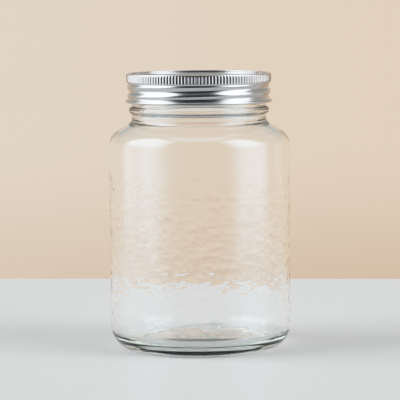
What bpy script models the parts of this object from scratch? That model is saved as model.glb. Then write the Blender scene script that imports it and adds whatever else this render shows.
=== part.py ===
"""Preserving jar: a clear glass jar with a wide mouth, a flat lid disc and a knurled screw band.

Three pieces share one upright axis. The glass jar stands on a bearing ring round a shallow
push-up, rises as a plain cylinder to a sloping shoulder, and narrows to a neck with one round
bead and a screw thread. The lid disc lies on the rim of the mouth, and its panel rises into
the band's opening. The band clamps the disc with its flange and carries a rolled crown,
knurls, rolled thread and a curled lower edge.
The origin is the centre of the base on the table, +Z points up, lengths are in metres.
"""
import math

import bmesh
import bpy

MM = 0.001

# Glass jar, outer form
JAR_STEPS = 48
BODY_RADIUS = 56.0 * MM
BEARING_OUTER = 45.5 * MM
BEARING_INNER = 42.5 * MM
HEEL_HEIGHT = 14.0 * MM
PUSH_UP = 2.9 * MM
PUSH_UP_RADIUS = 29.0 * MM
PUSH_UP_ROWS = 4
SHOULDER_RADIUS = 11.0 * MM
SHOULDER_HEIGHT = 124.0 * MM
SHOULDER_SLOPE = 33.0
NECK_RADIUS = 41.4 * MM
NECK_SWEEP = 5.5 * MM
BEAD_RADIUS = 43.4 * MM
BEAD_HEIGHT = 146.4 * MM
BEAD_HALF = 2.3 * MM
FINISH_RADIUS = 40.9 * MM
RIM_HEIGHT = 165.8 * MM
RIM_ROUND = 0.7 * MM

# Glass jar, inner form
WALL = 3.8 * MM
WALL_FOOT = 2.4 * MM
NECK_WALL = 3.6 * MM
MOUTH_RADIUS = NECK_RADIUS - NECK_WALL
INNER_SHOULDER_RADIUS = 8.4 * MM
INNER_SLOPE = 33.0
INNER_SWEEP = 2.5 * MM
FLOOR_CENTRE = 6.2 * MM
FLOOR_EDGE = 5.0 * MM
FLOOR_RADIUS = 46.0 * MM
INNER_HEEL_HEIGHT = 7.0 * MM

# Screw thread shared by the glass and the band: right-handed, its crest at the left at THREAD_LEFT
THREAD_PITCH = 5.8 * MM
THREAD_LEFT = 155.0 * MM
GLASS_THREAD_DEPTH = 1.6 * MM
GLASS_THREAD_HALF = 1.9 * MM
GLASS_THREAD_LOW = 150.6 * MM
GLASS_THREAD_HIGH = 162.6 * MM
GLASS_THREAD_ROWS = 12

# Screw band
BAND_STEPS = 70
SHEET = 0.5 * MM
BAND_OPENING = 38.0 * MM
BAND_TOP = 169.0 * MM
FLANGE_DIP = 1.6 * MM
CROWN_INNER = 42.2 * MM
CROWN_ROUND = 0.25 * MM
KNURLS = 140
KNURL_RADIUS = 44.2 * MM
KNURL_DEPTH = 0.45 * MM
KNURL_HIGH = 168.4 * MM
KNURL_LOW = 163.5 * MM
SKIRT_RADIUS = 43.75 * MM
SKIRT_HIGH = 162.4 * MM
SKIRT_LOW = 153.6 * MM
SKIRT_ROWS = 9
BAND_THREAD_DEPTH = 0.6 * MM
BAND_THREAD_LOW = 155.6 * MM
BAND_THREAD_HIGH = 161.5 * MM
BAND_THREAD_FADE = 2.1 * MM
CURL_RADIUS = 0.9 * MM
CURL_CENTRE = (44.6 * MM, 151.9 * MM)

# Lid disc
GAP = 0.3 * MM
DISC_STEPS = 48
DISC_RADIUS = 42.2 * MM
DISC_TOP = BAND_TOP - FLANGE_DIP - SHEET - GAP
PANEL_RADIUS = 36.6 * MM
PANEL_RISE = 0.4 * MM
PANEL_SLOPE = 0.6 * MM
PANEL_BEAD_RADIUS = 30.0 * MM
PANEL_BEAD_HALF = 1.6 * MM
PANEL_BEAD_RISE = 0.5 * MM


def clear_scene():
    """Remove every object of the start-up scene."""
    for obj in list(bpy.data.objects):
        bpy.data.objects.remove(obj, do_unlink=True)


def arc(centre, radii, start, end, count):
    """Points along an elliptical arc, angles in degrees, both ends included."""
    points = []
    for index in range(count):
        angle = math.radians(start + (end - start) * index / (count - 1))
        points.append((centre[0] + radii[0] * math.cos(angle), centre[1] + radii[1] * math.sin(angle)))
    return points


def material(name, colour, roughness, metallic, transmission=0.0):
    """A Principled material with its main values."""
    made = bpy.data.materials.new(name)
    made.use_nodes = True
    shader = made.node_tree.nodes["Principled BSDF"]
    shader.inputs["Base Color"].default_value = (*colour, 1.0)
    shader.inputs["Roughness"].default_value = roughness
    shader.inputs["Metallic"].default_value = metallic
    shader.inputs["Transmission Weight"].default_value = transmission
    return made


def turned(name, outline, steps, closed, collection, finish):
    """Turn an (r, z) outline about the Z axis with a Screw modifier."""
    mesh = bpy.data.meshes.new(name)
    edges = [(index, index + 1) for index in range(len(outline) - 1)]
    if closed:
        edges.append((len(outline) - 1, 0))
    mesh.from_pydata([(radius, 0.0, height) for radius, height in outline], edges, [])
    obj = bpy.data.objects.new(name, mesh)
    collection.objects.link(obj)
    mesh.materials.append(finish)
    screw = obj.modifiers.new("turn", "SCREW")
    screw.steps = steps
    screw.render_steps = steps
    screw.use_merge_vertices = True
    screw.merge_threshold = 0.00001
    return obj


def apply_modifiers(obj):
    """Replace the object's mesh with its evaluated one."""
    graph = bpy.context.evaluated_depsgraph_get()
    mesh = bpy.data.meshes.new_from_object(obj.evaluated_get(graph))
    obj.modifiers.clear()
    obj.data = mesh


def smooth(obj, angle):
    """Shade smooth, with a sharp edge where faces meet at more than the angle in degrees."""
    obj.data.shade_smooth()
    obj.data.set_sharp_from_angle(angle=math.radians(angle))


def set_radius(vertex, radius):
    """Move a vertex to a radius from the Z axis at its own bearing."""
    factor = radius / math.hypot(vertex.co.x, vertex.co.y)
    vertex.co.x *= factor
    vertex.co.y *= factor


def thread_height(vertex):
    """Height of the thread's crest at the vertex's bearing; it rises from left to right in front."""
    turn = (math.degrees(math.atan2(vertex.co.y, vertex.co.x)) - 180.0) % 360.0 / 360.0
    return THREAD_LEFT + THREAD_PITCH * turn


def fade(height, low, high, width):
    """One inside low..high, falling smoothly to zero over width past either end."""
    outside = max(low - height, height - high, 0.0) / width
    return math.cos(min(outside, 1.0) * math.pi / 2.0) ** 2


def jar_inside():
    """Inner outline from the floor's centre up to the mouth."""
    foot_radius = BODY_RADIUS - WALL_FOOT
    heel = arc((FLOOR_RADIUS, FLOOR_EDGE + INNER_HEEL_HEIGHT), (foot_radius - FLOOR_RADIUS, INNER_HEEL_HEIGHT),
               -90.0, 0.0, 5)
    floor = [(0.0, FLOOR_CENTRE), (0.5 * FLOOR_RADIUS, 0.5 * (FLOOR_CENTRE + FLOOR_EDGE))]
    return floor + heel + shoulder_curve(BODY_RADIUS - WALL, INNER_SHOULDER_RADIUS, INNER_SLOPE, MOUTH_RADIUS,
                                         INNER_SWEEP, 4)


def shoulder_curve(body_radius, shoulder_radius, cone_slope, neck_radius, sweep, count):
    """Shoulder from the body up to the neck: a round, a cone and a concave sweep."""
    bend = 90.0 - cone_slope
    lower = arc((body_radius - shoulder_radius, SHOULDER_HEIGHT), (shoulder_radius, shoulder_radius), 0.0, bend, count)
    end_radius = neck_radius + sweep * (1.0 - math.cos(math.radians(bend)))
    end_height = lower[-1][1] + (lower[-1][0] - end_radius) * math.tan(math.radians(cone_slope))
    sweep_centre = (neck_radius + sweep, end_height + sweep * math.sin(math.radians(bend)))
    return lower + arc(sweep_centre, (sweep, sweep), 180.0 + bend, 180.0, 4)


def jar_outside():
    """Outer outline from the mouth down to the push-up's centre."""
    rim = arc((MOUTH_RADIUS + RIM_ROUND, RIM_HEIGHT - RIM_ROUND), (RIM_ROUND, RIM_ROUND), 180.0, 90.0, 3)
    rim += arc((FINISH_RADIUS - RIM_ROUND, RIM_HEIGHT - RIM_ROUND), (RIM_ROUND, RIM_ROUND), 90.0, 0.0, 3)
    rise = (GLASS_THREAD_HIGH - GLASS_THREAD_LOW) / (GLASS_THREAD_ROWS - 1)
    thread = [(FINISH_RADIUS, GLASS_THREAD_HIGH - rise * row) for row in range(GLASS_THREAD_ROWS)]
    bead = arc((NECK_RADIUS, BEAD_HEIGHT), (BEAD_RADIUS - NECK_RADIUS, BEAD_HALF), 90.0, -90.0, 6)
    shoulder = shoulder_curve(BODY_RADIUS, SHOULDER_RADIUS, SHOULDER_SLOPE, NECK_RADIUS, NECK_SWEEP, 6)
    heel = arc((BEARING_OUTER, HEEL_HEIGHT), (BODY_RADIUS - BEARING_OUTER, HEEL_HEIGHT), 0.0, -90.0, 6)
    return rim + thread + bead + shoulder[::-1] + heel + push_up_curve()


def push_up_curve():
    """Underside from the bearing ring up to the flat of the push-up, a soft S."""
    points = []
    for index in range(PUSH_UP_ROWS):
        share = index / (PUSH_UP_ROWS - 1)
        radius = BEARING_INNER + (PUSH_UP_RADIUS - BEARING_INNER) * share
        points.append((radius, PUSH_UP * (0.5 - 0.5 * math.cos(share * math.pi))))
    return points + [(0.0, PUSH_UP)]


def add_glass_thread(mesh):
    """Raise one and a half turns of thread from the plain finish above the bead."""
    inset = 0.2 * MM
    for vertex in mesh.vertices:
        height = vertex.co.z
        radius = math.hypot(vertex.co.x, vertex.co.y)
        if radius < FINISH_RADIUS - inset or not GLASS_THREAD_LOW < height < GLASS_THREAD_HIGH:
            continue
        crest = thread_height(vertex)
        distance = min(abs(height - crest), abs(height - crest - THREAD_PITCH))
        bump = math.cos(min(distance / GLASS_THREAD_HALF, 1.0) * math.pi / 2.0) ** 2
        bump *= fade(height, GLASS_THREAD_LOW + THREAD_PITCH / 2.0, GLASS_THREAD_HIGH - THREAD_PITCH / 2.0,
                     THREAD_PITCH / 2.0)
        set_radius(vertex, FINISH_RADIUS + GLASS_THREAD_DEPTH * bump)


def make_jar(collection):
    """The glass jar, open at the mouth."""
    glass = material("clear_glass", (0.90, 0.93, 0.91), 0.04, 0.0, transmission=1.0)
    jar = turned("jar", jar_inside() + jar_outside(), JAR_STEPS, False, collection, glass)
    apply_modifiers(jar)
    add_glass_thread(jar.data)
    smooth(jar, 35.0)


def skirt_rows():
    """Heights of the skirt's rows, from under the knurls down to the curl."""
    drop = (SKIRT_HIGH - SKIRT_LOW) / (SKIRT_ROWS - 1)
    return [SKIRT_HIGH - drop * row for row in range(SKIRT_ROWS)]


def band_outline():
    """Closed outline of the band: sunk flange, rolled crown, knurls, skirt, curl and back up inside."""
    flange_top = BAND_TOP - FLANGE_DIP
    flange = [(BAND_OPENING, flange_top), (CROWN_INNER - CROWN_ROUND, flange_top)]
    crown = arc((CROWN_INNER + CROWN_ROUND, BAND_TOP - CROWN_ROUND), (CROWN_ROUND, CROWN_ROUND), 170.0, 90.0, 3)
    crown += arc((KNURL_RADIUS - CROWN_ROUND, BAND_TOP - CROWN_ROUND), (CROWN_ROUND, CROWN_ROUND), 90.0, 30.0, 3)
    knurls = [(KNURL_RADIUS, KNURL_HIGH), (KNURL_RADIUS, KNURL_LOW)]
    skirt = [(SKIRT_RADIUS, height) for height in skirt_rows()]
    curl = arc(CURL_CENTRE, (CURL_RADIUS, CURL_RADIUS), 120.0, -120.0, 7)
    inside = [(SKIRT_RADIUS - SHEET, height) for height in reversed(skirt_rows())]
    inside += [(SKIRT_RADIUS - SHEET, flange_top - SHEET), (BAND_OPENING, flange_top - SHEET)]
    return flange + crown + knurls + skirt + curl + inside


def add_band_thread(mesh):
    """Roll the thread into the skirt, its crest outside where the glass thread lies behind it."""
    for vertex in mesh.vertices:
        height = vertex.co.z
        if not SKIRT_LOW - CURL_RADIUS / 4.0 < height < SKIRT_HIGH + CURL_RADIUS / 4.0:
            continue
        radius = math.hypot(vertex.co.x, vertex.co.y)
        wave = math.cos((height - thread_height(vertex)) / THREAD_PITCH * 2.0 * math.pi)
        wave *= fade(height, BAND_THREAD_LOW, BAND_THREAD_HIGH, BAND_THREAD_FADE)
        set_radius(vertex, radius + BAND_THREAD_DEPTH * wave)


def add_knurls(mesh):
    """Cut each ring edge of the two knurl rows in four and pull every other point out."""
    cuts = 2 * KNURLS // BAND_STEPS
    tiny = 0.01 * MM
    model = bmesh.new()
    model.from_mesh(mesh)

    def on_row(vertex):
        at_row = min(abs(vertex.co.z - KNURL_HIGH), abs(vertex.co.z - KNURL_LOW)) < tiny
        return at_row and math.hypot(vertex.co.x, vertex.co.y) > SKIRT_RADIUS

    ring = [edge for edge in model.edges
            if all(on_row(end) for end in edge.verts) and abs(edge.verts[0].co.z - edge.verts[1].co.z) < tiny]
    bmesh.ops.subdivide_edges(model, edges=ring, cuts=cuts - 1, use_grid_fill=True)
    for vertex in model.verts:
        if on_row(vertex):
            turn = math.atan2(vertex.co.y, vertex.co.x) / (2.0 * math.pi)
            crest = round(turn * 2 * KNURLS) % 2 == 0
            set_radius(vertex, KNURL_RADIUS + (KNURL_DEPTH if crest else 0.0))
    bmesh.ops.triangulate(model, faces=[face for face in model.faces if len(face.verts) > 4])
    model.to_mesh(mesh)
    model.free()


def make_band(collection):
    """The screw band, a ring of thin sheet round the neck."""
    tin = material("band_tin", (0.78, 0.78, 0.79), 0.22, 1.0)
    band = turned("screw_band", band_outline(), BAND_STEPS, True, collection, tin)
    apply_modifiers(band)
    add_band_thread(band.data)
    add_knurls(band.data)
    smooth(band, 35.0)


def panel_top():
    """Upper outline of the disc from its centre to its edge: panel, pressed bead, wall and rim."""
    panel = DISC_TOP + PANEL_RISE
    bead = [(PANEL_BEAD_RADIUS - PANEL_BEAD_HALF, panel), (PANEL_BEAD_RADIUS, panel + PANEL_BEAD_RISE),
            (PANEL_BEAD_RADIUS + PANEL_BEAD_HALF, panel)]
    return [(0.0, panel)] + bead + [(PANEL_RADIUS, panel), (PANEL_RADIUS + PANEL_SLOPE, DISC_TOP),
                                    (DISC_RADIUS, DISC_TOP)]


def make_disc(collection):
    """The flat lid disc with its raised panel."""
    tin = material("disc_tin", (0.80, 0.79, 0.77), 0.18, 1.0)
    top = panel_top()
    under = [(radius, height - SHEET) for radius, height in reversed(top)]
    disc = turned("lid_disc", top + under, DISC_STEPS, False, collection, tin)
    smooth(disc, 35.0)


def main():
    clear_scene()
    collection = bpy.data.collections.new("preserving_jar")
    bpy.context.scene.collection.children.link(collection)
    make_jar(collection)
    make_band(collection)
    make_disc(collection)


main()
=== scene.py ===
"""Looks of the preserving jar: clear rippled glass, bright tinplate band and lid disc.

The solids come from the frame, and this script repeats their driving sizes. It makes the finer
surfaces over them, the materials, the table, the studio round the jar and the camera. Lengths
are in metres and angles in degrees, unless a name says otherwise.
"""
import math

import bmesh
import bpy
import numpy as np
from mathutils import Matrix, Vector, noise


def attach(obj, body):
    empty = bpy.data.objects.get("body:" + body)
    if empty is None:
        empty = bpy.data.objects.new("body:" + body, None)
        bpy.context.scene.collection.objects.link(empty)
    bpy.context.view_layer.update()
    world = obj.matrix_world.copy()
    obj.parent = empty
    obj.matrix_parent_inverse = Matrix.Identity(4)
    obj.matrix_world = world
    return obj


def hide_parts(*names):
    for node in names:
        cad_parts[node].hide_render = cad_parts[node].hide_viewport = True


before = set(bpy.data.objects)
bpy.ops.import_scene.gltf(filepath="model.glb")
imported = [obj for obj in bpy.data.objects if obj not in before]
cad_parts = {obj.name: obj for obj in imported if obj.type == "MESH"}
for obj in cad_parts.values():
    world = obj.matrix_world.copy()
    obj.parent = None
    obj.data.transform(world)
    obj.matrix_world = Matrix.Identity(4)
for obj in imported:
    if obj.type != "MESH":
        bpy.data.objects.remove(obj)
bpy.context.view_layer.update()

MM = 0.001
TAU = 2.0 * math.pi

# A point this near to a radius counts as lying on it
NEAR = 0.1 * MM

# Glass jar
BODY_RADIUS = 56.0 * MM
BEARING_OUTER = 45.5 * MM
BEARING_INNER = 42.5 * MM
HEEL_HEIGHT = 14.0 * MM
PUSH_UP = 2.9 * MM
PUSH_UP_RADIUS = 29.0 * MM
SHOULDER_RADIUS = 11.0 * MM
SHOULDER_HEIGHT = 124.0 * MM
SHOULDER_SLOPE = 33.0
INNER_SHOULDER_RADIUS = 8.4 * MM
INNER_SLOPE = 33.0
INNER_SWEEP = 2.5 * MM
NECK_RADIUS = 41.4 * MM
NECK_SWEEP = 5.5 * MM
BEAD_RADIUS = 43.4 * MM
BEAD_HEIGHT = 146.4 * MM
BEAD_HALF = 2.3 * MM
FINISH_RADIUS = 40.9 * MM
RIM_HEIGHT = 165.8 * MM
RIM_ROUND = 0.7 * MM
WALL = 3.8 * MM
WALL_FOOT = 2.4 * MM
NECK_WALL = 3.6 * MM
MOUTH_RADIUS = NECK_RADIUS - NECK_WALL
FLOOR_CENTRE = 6.2 * MM
FLOOR_EDGE = 5.0 * MM
FLOOR_RADIUS = 46.0 * MM
INNER_HEEL_HEIGHT = 7.0 * MM

# Thread
THREAD_PITCH = 5.8 * MM
THREAD_LEFT = 155.0 * MM
GLASS_THREAD_DEPTH = 1.6 * MM
GLASS_THREAD_HALF = 1.9 * MM
GLASS_THREAD_LOW = 150.6 * MM
GLASS_THREAD_HIGH = 162.6 * MM

# Screw band
SHEET = 0.5 * MM
BAND_OPENING = 38.0 * MM
BAND_TOP = 169.0 * MM
FLANGE_DIP = 1.6 * MM
CROWN_INNER = 42.2 * MM
CROWN_ROUND = 0.25 * MM
KNURLS = 140
KNURL_RADIUS = 44.2 * MM
KNURL_DEPTH = 0.45 * MM
KNURL_SHARPNESS = 3.0
KNURL_HIGH = 168.4 * MM
KNURL_LOW = 163.5 * MM
KNURL_INSET = 0.3 * MM
KNURL_FADE = 0.5 * MM
SKIRT_RADIUS = 43.75 * MM
SKIRT_HIGH = 162.4 * MM
SKIRT_LOW = 153.6 * MM
BAND_THREAD_DEPTH = 0.6 * MM
BAND_THREAD_LOW = 155.6 * MM
BAND_THREAD_HIGH = 161.5 * MM
BAND_THREAD_FADE = 2.1 * MM
CURL_RADIUS = 0.9 * MM
CURL_CENTRE = (44.6 * MM, 151.9 * MM)
SKIRT_MARGIN = CURL_RADIUS / 4.0

# Lid disc
GAP = 0.3 * MM
DISC_RADIUS = 42.2 * MM
DISC_TOP = BAND_TOP - FLANGE_DIP - SHEET - GAP
PANEL_RADIUS = 36.6 * MM
PANEL_RISE = 0.4 * MM
PANEL_SLOPE = 0.6 * MM
PANEL_BEAD_RADIUS = 30.0 * MM
PANEL_BEAD_HALF = 1.6 * MM
PANEL_BEAD_RISE = 0.5 * MM

# Ripples pressed into the outside of the wall, a coarse and a finer noise
RIPPLE_LOW = 16.0 * MM
RIPPLE_HIGH = 102.0 * MM
RIPPLE_FADE = 14.0 * MM
RIPPLE_DEPTH = 0.22 * MM
RIPPLE_SIZE = 4.0 * MM
RIPPLE_STRETCH = 0.6
RIPPLE_CONTRAST = 0.6
RIPPLE_COARSE = 0.6
RIPPLE_FINE = 0.5
RIPPLE_FINER = 2.1

# Steps round each turned mesh
GLASS_STEPS = 360
BAND_STEPS = 6 * KNURLS
DISC_STEPS = 240

# Materials
GLASS_IOR = 1.5
GLASS_REFLECTION_TINT = (0.6, 0.9, 1.0, 1.0)
GLASS_TINT = (0.55, 0.80, 0.72, 1.0)
GLASS_TINT_DENSITY = 5.0
BAND_COLOUR = (0.53, 0.53, 0.54)
BAND_ROUGHNESS = 0.20
DISC_COLOUR = (0.60, 0.59, 0.575)
DISC_ROUGHNESS = 0.12
MARKS_SCALE = (60.0, 60.0, 900.0)
MARKS_DETAIL = 4.0
MARKS_SHADE = 0.94
MARKS_ROUGHNESS = (0.8, 1.25)
TABLE_COLOUR = (0.51, 0.495, 0.49, 1.0)
TABLE_ROUGHNESS = 0.45

# Camera
CAMERA_DISTANCE = 1.3186
CAMERA_HEIGHT = 0.2194
CAMERA_SIDE = 0.0002
CAMERA_PITCH = 5.597
CAMERA_ROLL = 0.45
FOCAL_PIXELS = 2136.6
PHOTO_PIXELS = 400.0
SENSOR_MM = 36.0

# Table, turned about the middle of its back edge
TABLE_BACK = 0.303
TABLE_FRONT = -0.33
TABLE_HALF = 0.95
TABLE_TURN = 3.5
TABLE_DROP = 0.1 * MM

# Backdrop, with painted shade: darker on the right and low down towards the table; the blend from
# left to right is given as a share of the direction's length
LEFT_WALL_COLOUR = (0.86, 0.70, 0.56, 1.0)
# Painted shade: the wall's low part, next to the table, is darker
LEFT_WALL_SHADED_LOW_COLOUR = (0.72, 0.56, 0.44, 1.0)
# Painted shade: the right of the wall is darker than the left
RIGHT_WALL_SHADED_COLOUR = (0.85, 0.66, 0.51, 1.0)
RIGHT_WALL_SHADED_LOW_COLOUR = (0.66, 0.49, 0.365, 1.0)
WALL_HIGH_COLOUR = (0.47, 0.50, 0.47, 1.0)
WALL_BLEND = 0.105
WALL_SHADE_RISE = (-9.0, -4.0)
WALL_HIGH_RISE = (4.0, 16.0)
BACKDROP_TOP = 35.0

# Studio; bearing 0 is behind the jar, 180 is at the camera, and the right is positive
ROOM_COLOUR = (0.05, 0.05, 0.055, 1.0)
GLASS_ROOM_COLOUR = (0.42, 0.46, 0.43, 1.0)
ROOM_EDGE = (75.0, 100.0)
CEILING_COLOUR = (1.5, 1.7, 1.8, 1.0)
CEILING_RISE = (60.0, 76.0)
FLOOR_COLOUR = (0.6, 0.66, 0.68, 1.0)
FLOOR_FALL = (-45.0, -60.0)

# Side lights: bearings of the back and front edges, then the widths over which those fade
LEFT_BOX = (75.0, 108.0, 14.0, 42.0)
RIGHT_BOX = (98.0, 114.0, 18.0, 46.0)
BOX_FRONT_POWER = 2.0
BOX_TOP = 56.0
BOX_TOP_EDGE = 9.0
BOX_COLOUR = (2.2, 2.3, 2.4, 1.0)
BOX_GLOW_COLOUR = (6.0, 6.3, 6.5, 1.0)
BOX_GLOW_RISE = (8.0, 30.0)

# Limits on a ray's depths, which are whole numbers, so each lies halfway between two
ENTERED_DEPTH = 0.5
UNREFLECTED_DEPTH = 1.5

# Light and what is shown for it, between black at nothing and full white at TONE_WHITE
TONE_WHITE = 2.4
TONE_POINTS = (
    (0.25, 0.25), (0.5, 0.5), (0.6, 0.59), (0.7, 0.665), (0.8, 0.725),
    (0.9, 0.775), (1.0, 0.815), (1.2, 0.87), (1.5, 0.93), (2.0, 0.985),
)


def ellipse_arc(centre, radii, start, end, count):
    """Points along an elliptical arc, angles in degrees, both ends included."""
    angles = np.radians(np.linspace(start, end, count))
    return [(centre[0] + radii[0] * math.cos(angle), centre[1] + radii[1] * math.sin(angle))
            for angle in angles]


def circle_arc(centre, radius, start, end, count):
    """Points along a circular arc, angles in degrees, both ends included."""
    return ellipse_arc(centre, (radius, radius), start, end, count)


def line(start, end, count):
    """Points along a straight line, both ends left out."""
    shares = np.linspace(0.0, 1.0, count + 2)[1:-1]
    return [(start[0] + (end[0] - start[0]) * share, start[1] + (end[1] - start[1]) * share)
            for share in shares]


def chain(first, *others):
    """Join runs of points; a later run comes with how many points fill the gap before it."""
    points = list(first)
    for gap_points, run in others:
        points += line(points[-1], run[0], gap_points)
        points += run
    return points


def ease(share):
    """Smooth rise from 0 to 1."""
    return 0.5 - 0.5 * math.cos(share * math.pi)


def hump(distance):
    """One at 0, falling smoothly to zero at 1 and -1."""
    return np.cos(distance * math.pi / 2.0) ** 2


def fade(height, low, high, width):
    """One inside low..high, falling smoothly to zero over width past either end."""
    return hump(np.clip(np.maximum(low - height, height - high) / width, 0.0, 1.0))


def turned_faces(rows, steps, closed):
    """Faces of a turned mesh, whose points run once round for each row of its outline."""
    here = list(range(steps))
    following = here[1:] + here[:1]
    faces = []
    first, last = 0, rows
    if not closed:
        first, last = 1, rows - 2
        faces += [(0, steps + a, steps + b) for a, b in zip(here, following)]
    for row in range(first, last):
        low = row * steps
        high = ((row + 1) % rows) * steps
        faces += [(low + a, high + a, high + b, low + b) for a, b in zip(here, following)]
    if not closed:
        tail = (rows - 1) * steps
        faces += [(tail - steps + a, tail, tail - steps + b) for a, b in zip(here, following)]
    return faces


def clean(mesh):
    """Drop the unused copies of the points on the axis, and turn the faces outwards."""
    model = bmesh.new()
    model.from_mesh(mesh)
    loose = [vertex for vertex in model.verts if not vertex.link_faces]
    bmesh.ops.delete(model, geom=loose, context="VERTS")
    bmesh.ops.recalc_face_normals(model, faces=model.faces)
    model.to_mesh(mesh)
    model.free()


def revolve(name, outline, steps, reshape=None, closed=False):
    """A turned mesh, whose outline is closed or has both ends on the axis.

    reshape(turn, radius, height) gives the radii that the mesh gets.
    """
    outline = np.array(outline)
    rows = len(outline)
    turn = np.linspace(0.0, TAU, steps, endpoint=False)
    turn = np.repeat(turn[None, :], rows, axis=0)
    radius = np.repeat(outline[:, :1], steps, axis=1)
    height = np.repeat(outline[:, 1:], steps, axis=1)
    if reshape:
        radius = reshape(turn, radius, height)
    points = np.stack([radius * np.cos(turn), radius * np.sin(turn), height], -1)
    mesh = bpy.data.meshes.new(name)
    mesh.from_pydata(points.reshape(-1, 3).tolist(), [], turned_faces(rows, steps, closed))
    mesh.validate()
    piece = bpy.data.objects.new(name, mesh)
    bpy.context.scene.collection.objects.link(piece)
    clean(mesh)
    mesh.shade_smooth()
    return piece


def thread_height(turn):
    """Height of the thread's crest at a bearing; it rises from left to right in front."""
    return THREAD_LEFT + THREAD_PITCH * (((turn - math.pi) % TAU) / TAU)


def shoulder_curve(body_radius, shoulder_radius, cone_slope, neck_radius, sweep):
    """Shoulder from the body to the neck: a round, a cone and a concave sweep."""
    bend = 90.0 - cone_slope
    lower = circle_arc((body_radius - shoulder_radius, SHOULDER_HEIGHT), shoulder_radius,
                       0.0, bend, count=14)
    end_radius = neck_radius + sweep * (1.0 - math.cos(math.radians(bend)))
    end_height = lower[-1][1] + (lower[-1][0] - end_radius) * math.tan(math.radians(cone_slope))
    sweep_centre = (neck_radius + sweep, end_height + sweep * math.sin(math.radians(bend)))
    upper = circle_arc(sweep_centre, sweep, 180.0 + bend, 180.0, count=12)
    return chain(lower, (3, upper))


def push_up_curve():
    """Underside from the bearing ring up to the flat of the push-up, a soft S."""
    points = []
    for share in np.linspace(0.0, 1.0, 12):
        radius = BEARING_INNER + (PUSH_UP_RADIUS - BEARING_INNER) * share
        points.append((radius, PUSH_UP * ease(share)))
    return points


def jar_outline():
    """Outline of the glass from the floor's centre over the rim to the push-up's centre."""
    foot = BODY_RADIUS - WALL_FOOT
    heel_in = ellipse_arc((FLOOR_RADIUS, FLOOR_EDGE + INNER_HEEL_HEIGHT),
                          (foot - FLOOR_RADIUS, INNER_HEEL_HEIGHT), -90.0, 0.0, count=14)
    shoulder_in = shoulder_curve(BODY_RADIUS - WALL, INNER_SHOULDER_RADIUS, INNER_SLOPE,
                                 MOUTH_RADIUS, INNER_SWEEP)
    rim_in = circle_arc((MOUTH_RADIUS + RIM_ROUND, RIM_HEIGHT - RIM_ROUND), RIM_ROUND,
                        180.0, 90.0, count=5)
    rim_out = circle_arc((FINISH_RADIUS - RIM_ROUND, RIM_HEIGHT - RIM_ROUND), RIM_ROUND,
                         90.0, 0.0, count=5)
    bead = ellipse_arc((NECK_RADIUS, BEAD_HEIGHT), (BEAD_RADIUS - NECK_RADIUS, BEAD_HALF),
                       90.0, -90.0, count=16)
    shoulder_out = shoulder_curve(BODY_RADIUS, SHOULDER_RADIUS, SHOULDER_SLOPE,
                                  NECK_RADIUS, NECK_SWEEP)[::-1]
    heel_out = ellipse_arc((BEARING_OUTER, HEEL_HEIGHT), (BODY_RADIUS - BEARING_OUTER, HEEL_HEIGHT),
                           0.0, -90.0, count=16)
    return chain(
        [(0.0, FLOOR_CENTRE)],
        (4, heel_in), (30, shoulder_in), (6, rim_in), (1, rim_out), (44, bead),
        (1, shoulder_out), (150, heel_out), (1, push_up_curve()), (4, [(0.0, PUSH_UP)]),
    )


def ripple(turn, height):
    """Depth of the pressed ripples, before they fade at either end of the wall."""
    x = BODY_RADIUS * np.cos(turn) * RIPPLE_STRETCH / RIPPLE_SIZE
    y = BODY_RADIUS * np.sin(turn) * RIPPLE_STRETCH / RIPPLE_SIZE
    z = height / RIPPLE_SIZE
    waves = np.empty(turn.shape)
    for index in np.ndindex(turn.shape):
        place = Vector((x[index], y[index], z[index]))
        coarse = noise.noise(place)
        fine = noise.noise(place * RIPPLE_FINER)
        waves[index] = RIPPLE_COARSE * coarse + RIPPLE_FINE * fine
    return RIPPLE_DEPTH * np.clip(0.5 + RIPPLE_CONTRAST * waves, 0.0, 1.0)


def shape_glass(turn, radius, height):
    """Thread on the finish and ripples on the wall."""
    shaped = radius.copy()
    finish = radius > FINISH_RADIUS - NEAR
    finish &= (height > BEAD_HEIGHT + BEAD_HALF) & (height < RIM_HEIGHT)
    crest = thread_height(turn)
    distance = np.minimum(abs(height - crest), abs(height - crest - THREAD_PITCH))
    bump = hump(np.clip(distance / GLASS_THREAD_HALF, 0.0, 1.0))
    run_out = THREAD_PITCH / 2.0
    bump *= fade(height, GLASS_THREAD_LOW + run_out, GLASS_THREAD_HIGH - run_out, run_out)
    shaped[finish] += (GLASS_THREAD_DEPTH * bump)[finish]
    wall = np.flatnonzero((radius > BODY_RADIUS - NEAR).any(axis=1))
    depth = ripple(turn[wall], height[wall])
    depth *= fade(height[wall], RIPPLE_LOW, RIPPLE_HIGH, RIPPLE_FADE)
    shaped[wall] -= depth
    return shaped


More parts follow.
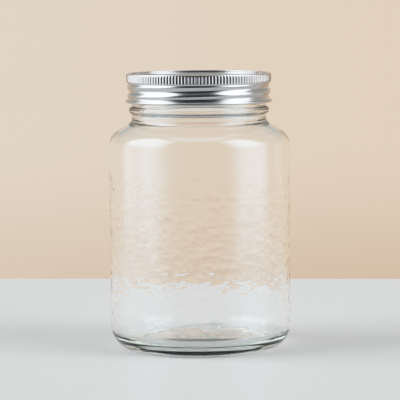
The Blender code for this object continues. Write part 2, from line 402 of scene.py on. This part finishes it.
def band_outline():
    """Closed outline of the band: flange, rolled crown, knurls, skirt, curl and back up inside."""
    flange_top = BAND_TOP - FLANGE_DIP
    underside = flange_top - SHEET
    crown_height = BAND_TOP - CROWN_ROUND
    edge = BAND_OPENING + SHEET / 2.0
    inner = SKIRT_RADIUS - SHEET
    flange = circle_arc((edge, flange_top - SHEET / 2.0), SHEET / 2.0, 180.0, 90.0, count=4)
    fillet = circle_arc((CROWN_INNER - CROWN_ROUND, flange_top + CROWN_ROUND), CROWN_ROUND,
                        -90.0, -10.0, count=6)
    crown_in = circle_arc((CROWN_INNER + CROWN_ROUND, crown_height), CROWN_ROUND,
                          170.0, 90.0, count=6)
    crown_out = circle_arc((KNURL_RADIUS - CROWN_ROUND, crown_height), CROWN_ROUND,
                           90.0, 10.0, count=7)
    curl = circle_arc(CURL_CENTRE, CURL_RADIUS, 130.0, -120.0, count=14)
    return chain(
        flange, (2, fillet), (3, crown_in), (1, crown_out),
        (0, [(KNURL_RADIUS, KNURL_HIGH)]), (8, [(KNURL_RADIUS, KNURL_LOW)]),
        (3, [(SKIRT_RADIUS, SKIRT_HIGH)]), (24, [(SKIRT_RADIUS, SKIRT_LOW)]),
        (2, curl),
        (2, [(inner, SKIRT_LOW)]), (18, [(inner, underside)]), (1, [(edge, underside)]),
    )


def shape_band(turn, radius, height):
    """Rolled thread on the skirt and knurls round the top."""
    shaped = radius.copy()
    wave = np.cos((height - thread_height(turn)) / THREAD_PITCH * TAU)
    wave *= fade(height, BAND_THREAD_LOW, BAND_THREAD_HIGH, BAND_THREAD_FADE)
    skirt = (height > SKIRT_LOW - SKIRT_MARGIN) & (height < SKIRT_HIGH + SKIRT_MARGIN)
    skirt &= radius < KNURL_RADIUS - NEAR
    shaped[skirt] += (BAND_THREAD_DEPTH * wave)[skirt]
    teeth = (0.5 + 0.5 * np.cos(turn * KNURLS)) ** KNURL_SHARPNESS
    teeth *= fade(height, KNURL_LOW + KNURL_INSET, KNURL_HIGH - KNURL_INSET, KNURL_FADE)
    knurled = (radius > KNURL_RADIUS - NEAR) & (height > SKIRT_HIGH)
    shaped[knurled] += (KNURL_DEPTH * teeth)[knurled]
    return shaped


def disc_outline():
    """Outline of the lid disc, from the panel's centre to the edge and back below."""
    panel = DISC_TOP + PANEL_RISE
    bead = []
    for share in np.linspace(-1.0, 1.0, 9):
        radius = PANEL_BEAD_RADIUS + PANEL_BEAD_HALF * share
        bead.append((radius, panel + PANEL_BEAD_RISE * hump(share)))
    wall = []
    for share in np.linspace(0.0, 1.0, 8):
        wall.append((PANEL_RADIUS + PANEL_SLOPE * share, panel - PANEL_RISE * ease(share)))
    top = chain([(0.0, panel)], (3, bead), (2, wall), (2, [(DISC_RADIUS, DISC_TOP)]))
    return top + [(radius, height - SHEET) for radius, height in reversed(top)]


def principled(name):
    """A new material and its Principled shader."""
    made = bpy.data.materials.new(name)
    made.use_nodes = True
    return made, made.node_tree.nodes["Principled BSDF"]


def glass_material():
    """Clear glass, faintly green where light runs far through it, with cool reflections."""
    made, shader = principled("clear_glass")
    shader.inputs["Base Color"].default_value = (1.0, 1.0, 1.0, 1.0)
    shader.inputs["Roughness"].default_value = 0.0
    shader.inputs["IOR"].default_value = GLASS_IOR
    shader.inputs["Transmission Weight"].default_value = 1.0
    shader.inputs["Specular Tint"].default_value = GLASS_REFLECTION_TINT
    nodes, links = made.node_tree.nodes, made.node_tree.links
    absorb = nodes.new("ShaderNodeVolumeAbsorption")
    absorb.inputs["Color"].default_value = GLASS_TINT
    absorb.inputs["Density"].default_value = GLASS_TINT_DENSITY
    links.new(absorb.outputs["Volume"], nodes["Material Output"].inputs["Volume"])
    return made


def tin_material(name, colour, roughness):
    """Bright tinplate with fine rolling marks in its tone and its gloss."""
    made, shader = principled(name)
    nodes, links = made.node_tree.nodes, made.node_tree.links
    shader.inputs["Metallic"].default_value = 1.0
    place = nodes.new("ShaderNodeTexCoord")
    stretch = nodes.new("ShaderNodeMapping")
    stretch.inputs["Scale"].default_value = MARKS_SCALE
    grain = nodes.new("ShaderNodeTexNoise")
    grain.inputs["Scale"].default_value = 1.0
    grain.inputs["Detail"].default_value = MARKS_DETAIL
    links.new(place.outputs["Object"], stretch.inputs["Vector"])
    links.new(stretch.outputs["Vector"], grain.inputs["Vector"])
    tone = nodes.new("ShaderNodeMix")
    tone.data_type = "RGBA"
    tone.inputs["A"].default_value = (*[channel * MARKS_SHADE for channel in colour], 1.0)
    tone.inputs["B"].default_value = (*colour, 1.0)
    links.new(grain.outputs["Fac"], tone.inputs["Factor"])
    links.new(tone.outputs["Result"], shader.inputs["Base Color"])
    gloss = nodes.new("ShaderNodeMapRange")
    gloss.inputs["To Min"].default_value = roughness * MARKS_ROUGHNESS[0]
    gloss.inputs["To Max"].default_value = roughness * MARKS_ROUGHNESS[1]
    links.new(grain.outputs["Fac"], gloss.inputs["Value"])
    links.new(gloss.outputs["Result"], shader.inputs["Roughness"])
    return made


def table_material():
    """White laminate."""
    made, shader = principled("table")
    shader.inputs["Base Color"].default_value = TABLE_COLOUR
    shader.inputs["Roughness"].default_value = TABLE_ROUGHNESS
    return made


def add_pieces():
    """The glass, the band and the disc, each in place of its solid."""
    glass = revolve("jar_glass", jar_outline(), GLASS_STEPS, shape_glass)
    glass.data.materials.append(glass_material())
    band = revolve("band_sheet", band_outline(), BAND_STEPS, shape_band, closed=True)
    band.data.materials.append(tin_material("band_tin", BAND_COLOUR, BAND_ROUGHNESS))
    disc = revolve("disc_sheet", disc_outline(), DISC_STEPS)
    disc.data.materials.append(tin_material("disc_tin", DISC_COLOUR, DISC_ROUGHNESS))
    for piece, node, slot in ((glass, "jar", "clear_glass"), (band, "screw_band", "band_tin"),
                              (disc, "lid_disc", "disc_tin")):
        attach(piece, "root")
        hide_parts(node)


def add_table():
    """A plain table whose back edge lies a little behind the jar."""
    corners = [(-TABLE_HALF, TABLE_FRONT, 0.0), (TABLE_HALF, TABLE_FRONT, 0.0),
               (TABLE_HALF, TABLE_BACK, 0.0), (-TABLE_HALF, TABLE_BACK, 0.0)]
    turn = Matrix.Translation((0.0, TABLE_BACK, 0.0))
    turn = turn @ Matrix.Rotation(math.radians(-TABLE_TURN), 4, "Z")
    turn = turn @ Matrix.Translation((0.0, -TABLE_BACK, 0.0))
    mesh = bpy.data.meshes.new("table")
    mesh.from_pydata([turn @ Vector(corner) for corner in corners], [], [(0, 1, 2, 3)])
    table = bpy.data.objects.new("table", mesh)
    table.location.z = -TABLE_DROP
    bpy.context.scene.collection.objects.link(table)
    mesh.materials.append(table_material())


class Graph:
    """Short calls for the world's nodes; a value is a number, a colour or another node's output."""

    def __init__(self, tree):
        self.nodes = tree.nodes
        self.links = tree.links

    def feed(self, socket, value):
        """Link or set one input."""
        if isinstance(value, bpy.types.NodeSocket):
            self.links.new(value, socket)
        else:
            socket.default_value = value

    def math(self, operation, *values):
        """One operation on one or two values."""
        node = self.nodes.new("ShaderNodeMath")
        node.operation = operation
        for socket, value in zip(node.inputs, values):
            self.feed(socket, value)
        return node.outputs[0]

    def step(self, value, low, high):
        """Smooth step from 0 at low to 1 at high, which may lie below low."""
        node = self.nodes.new("ShaderNodeMapRange")
        node.interpolation_type = "SMOOTHSTEP"
        self.feed(node.inputs["Value"], value)
        self.feed(node.inputs["From Min"], low)
        self.feed(node.inputs["From Max"], high)
        return node.outputs["Result"]

    def mix(self, share, first, second):
        """Blend of two colours."""
        node = self.nodes.new("ShaderNodeMix")
        node.data_type = "RGBA"
        self.feed(node.inputs["Factor"], share)
        self.feed(node.inputs["A"], first)
        self.feed(node.inputs["B"], second)
        return node.outputs["Result"]


def backdrop_colour(graph, east, level):
    """Beige wall with painted shade, a little darker to the right and low down, grey-green above.
    """
    # Painted shade: the wall darkens low down towards the table, and on its right side
    rise = graph.step(level, *WALL_SHADE_RISE)
    left_wall = graph.mix(rise, LEFT_WALL_SHADED_LOW_COLOUR, LEFT_WALL_COLOUR)
    shaded_right_wall = graph.mix(rise, RIGHT_WALL_SHADED_LOW_COLOUR, RIGHT_WALL_SHADED_COLOUR)
    wall = graph.mix(graph.step(east, -WALL_BLEND, WALL_BLEND), left_wall, shaded_right_wall)
    return graph.mix(graph.step(level, *WALL_HIGH_RISE), wall, WALL_HIGH_COLOUR)


def softbox(graph, toward, level, box):
    """Share of a side light; toward is the bearing counted to its own side."""
    back, front, back_edge, front_edge = box
    front_fall = graph.step(toward, front + front_edge, front)
    across = graph.math("MULTIPLY", graph.step(toward, back - back_edge, back),
                        graph.math("POWER", front_fall, BOX_FRONT_POWER))
    upright = graph.step(level, BOX_TOP + BOX_TOP_EDGE, BOX_TOP)
    return graph.math("MULTIPLY", across, upright)


def studio_colour(graph, path, bearing, level, backdrop):
    """Dark room in front, paler for rays that were inside the glass, and two side lights."""
    entered = graph.math("GREATER_THAN", path.outputs["Transmission Depth"], ENTERED_DEPTH)
    front = graph.mix(entered, ROOM_COLOUR, GLASS_ROOM_COLOUR)
    away = graph.math("ABSOLUTE", bearing)
    room = graph.mix(graph.step(away, *ROOM_EDGE), backdrop, front)
    room = graph.mix(graph.step(level, *CEILING_RISE), room, CEILING_COLOUR)
    room = graph.mix(graph.step(level, *FLOOR_FALL), room, FLOOR_COLOUR)
    right = softbox(graph, bearing, level, RIGHT_BOX)
    left = softbox(graph, graph.math("MULTIPLY", bearing, -1.0), level, LEFT_BOX)
    box = graph.mix(graph.step(level, *BOX_GLOW_RISE), BOX_COLOUR, BOX_GLOW_COLOUR)
    return graph.mix(graph.math("ADD", left, right), room, box)


def backdrop_share(graph, path, level):
    """One for a camera ray, or one that only passed through glass, that doesn't point high up.

    At the world a ray's depth is one more than the number of its bounces.
    """
    others = graph.math("SUBTRACT", path.outputs["Ray Depth"], path.outputs["Transmission Depth"])
    straight = graph.math("MULTIPLY", path.outputs["Is Transmission Ray"],
                          graph.math("LESS_THAN", others, UNREFLECTED_DEPTH))
    seen = graph.math("MAXIMUM", path.outputs["Is Camera Ray"], straight)
    return graph.math("MULTIPLY", seen, graph.math("LESS_THAN", level, BACKDROP_TOP))


def make_world():
    """Backdrop for what is seen directly or through the glass, and a studio for reflections."""
    world = bpy.data.worlds.new("studio")
    bpy.context.scene.world = world
    world.use_nodes = True
    tree = world.node_tree
    tree.nodes.clear()
    graph = Graph(tree)
    place = tree.nodes.new("ShaderNodeTexCoord")
    split = tree.nodes.new("ShaderNodeSeparateXYZ")
    tree.links.new(place.outputs["Generated"], split.inputs["Vector"])
    east, north, up = split.outputs
    bearing = graph.math("DEGREES", graph.math("ARCTAN2", east, north))
    level = graph.math("DEGREES", graph.math("ARCSINE", up))
    path = tree.nodes.new("ShaderNodeLightPath")
    backdrop = backdrop_colour(graph, east, level)
    studio = studio_colour(graph, path, bearing, level, backdrop)
    colour = graph.mix(backdrop_share(graph, path, level), studio, backdrop)
    background = tree.nodes.new("ShaderNodeBackground")
    tree.links.new(colour, background.inputs["Color"])
    output = tree.nodes.new("ShaderNodeOutputWorld")
    tree.links.new(background.outputs["Background"], output.inputs["Surface"])
    world.cycles.sampling_method = "MANUAL"
    world.cycles.sample_map_resolution = 1024


def add_camera():
    """Camera at the photograph's distance, height and angle."""
    data = bpy.data.cameras.new("camera")
    data.sensor_width = SENSOR_MM
    data.lens = SENSOR_MM * FOCAL_PIXELS / PHOTO_PIXELS
    camera = bpy.data.objects.new("camera", data)
    bpy.context.scene.collection.objects.link(camera)
    camera.location = (CAMERA_SIDE, -CAMERA_DISTANCE, CAMERA_HEIGHT)
    tilt = Matrix.Rotation(math.radians(90.0 - CAMERA_PITCH), 4, "X")
    roll = Matrix.Rotation(math.radians(-CAMERA_ROLL), 4, "Z")
    camera.rotation_euler = (tilt @ roll).to_euler()
    bpy.context.scene.camera = camera


def set_tone(settings):
    """A soft shoulder, as a camera has: light above half of white is compressed before it clips."""
    settings.use_curve_mapping = True
    mapping = settings.curve_mapping
    mapping.white_level = (TONE_WHITE, TONE_WHITE, TONE_WHITE)
    combined = mapping.curves[3]
    for light, shown in TONE_POINTS:
        combined.points.new(light / TONE_WHITE, shown)
    mapping.update()


def set_rendering():
    """Light paths deep enough for the jar's four glass surfaces, and the view transform."""
    scene = bpy.context.scene
    scene.cycles.max_bounces = 16
    scene.cycles.transmission_bounces = 16
    scene.cycles.glossy_bounces = 8
    scene.cycles.diffuse_bounces = 4
    scene.cycles.caustics_refractive = True
    scene.cycles.caustics_reflective = True
    scene.cycles.blur_glossy = 0.2
    scene.cycles.use_denoising = True
    scene.view_settings.view_transform = "Standard"
    set_tone(scene.view_settings)


add_camera()
add_pieces()
add_table()
make_world()
set_rendering()
